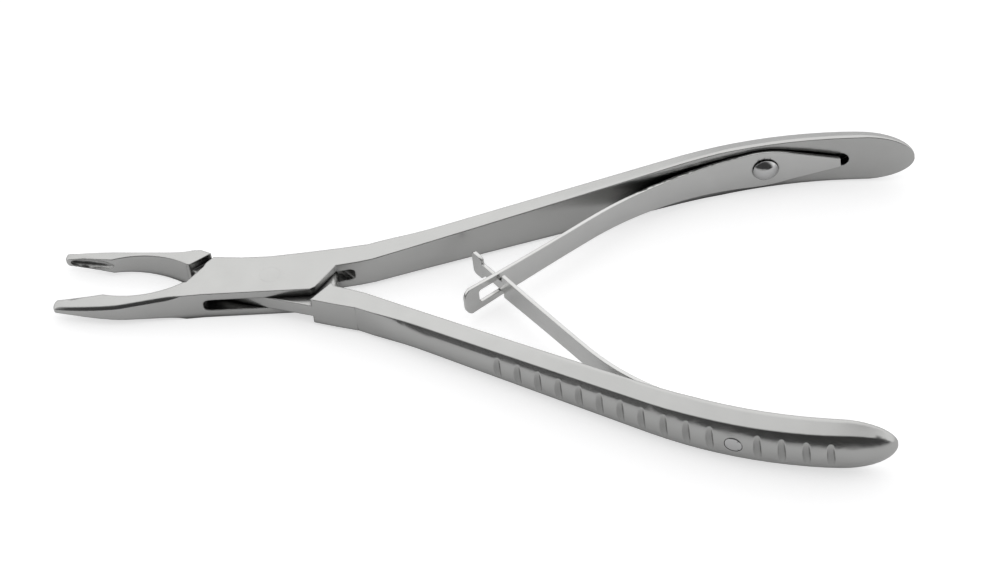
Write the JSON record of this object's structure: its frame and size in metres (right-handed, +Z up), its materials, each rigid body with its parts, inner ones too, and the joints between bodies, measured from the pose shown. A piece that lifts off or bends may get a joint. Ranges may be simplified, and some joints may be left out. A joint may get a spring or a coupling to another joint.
{
  "type": "bone rongeur",
  "caption": "Bone rongeur with a box lock, hollowed cutting jaws, fluted bowed handles and interlocked leaf springs that hold it open.",
  "frame": {"origin": "centre of the bounding box's bottom, level with the strips of the handles on which the tails rest", "axes": "+X along the instrument from the jaws to the tails, +Y across it towards the handle with the slotted spring, +Z up along the lock pin"},
  "size_m": [0.1488, 0.0754, 0.0101],
  "materials": {
    "satin_steel": "satin",
    "spring_steel": "satin",
    "polished_steel": "polished"
  },
  "bodies": {
    "box_side": {"box_half": "satin_steel", "lock_pin": "satin_steel", "upper_spring_rivet": "polished_steel"},
    "tenon_side": {"tenon_half": "satin_steel", "lower_spring_rivet": "polished_steel"},
    "slotted_leaf": {"slotted_spring": "spring_steel"},
    "tongue_leaf": {"tongue_spring": "spring_steel"}
  },
  "joints": [
    {"name": "box_lock", "type": "hinge", "parent": "box_side", "child": "tenon_side", "pos_m": [-0.03624, 0, 0.00505], "axis": [0, 0, 1], "range_deg": [-3, 15], "stiffness_Nm_per_rad": 2},
    {"name": "slotted_spring_flex", "type": "hinge", "parent": "box_side", "child": "slotted_leaf", "pos_m": [0.03952, 0.02838, 0.00505], "axis": [0, 0, 1], "range_deg": [-9, 2], "deforming": ["slotted_spring"]},
    {"name": "tongue_spring_flex", "type": "hinge", "parent": "tenon_side", "child": "tongue_leaf", "pos_m": [0.03955, -0.02828, 0.00505], "axis": [0, 0, 1], "range_deg": [-1.5, 6.6], "deforming": ["tongue_spring"]}
  ],
  "couplings": [
    {"joint": "slotted_spring_flex", "follows": "box_lock", "ratio": -0.59},
    {"joint": "tongue_spring_flex", "follows": "box_lock", "ratio": 0.43}
  ]
}
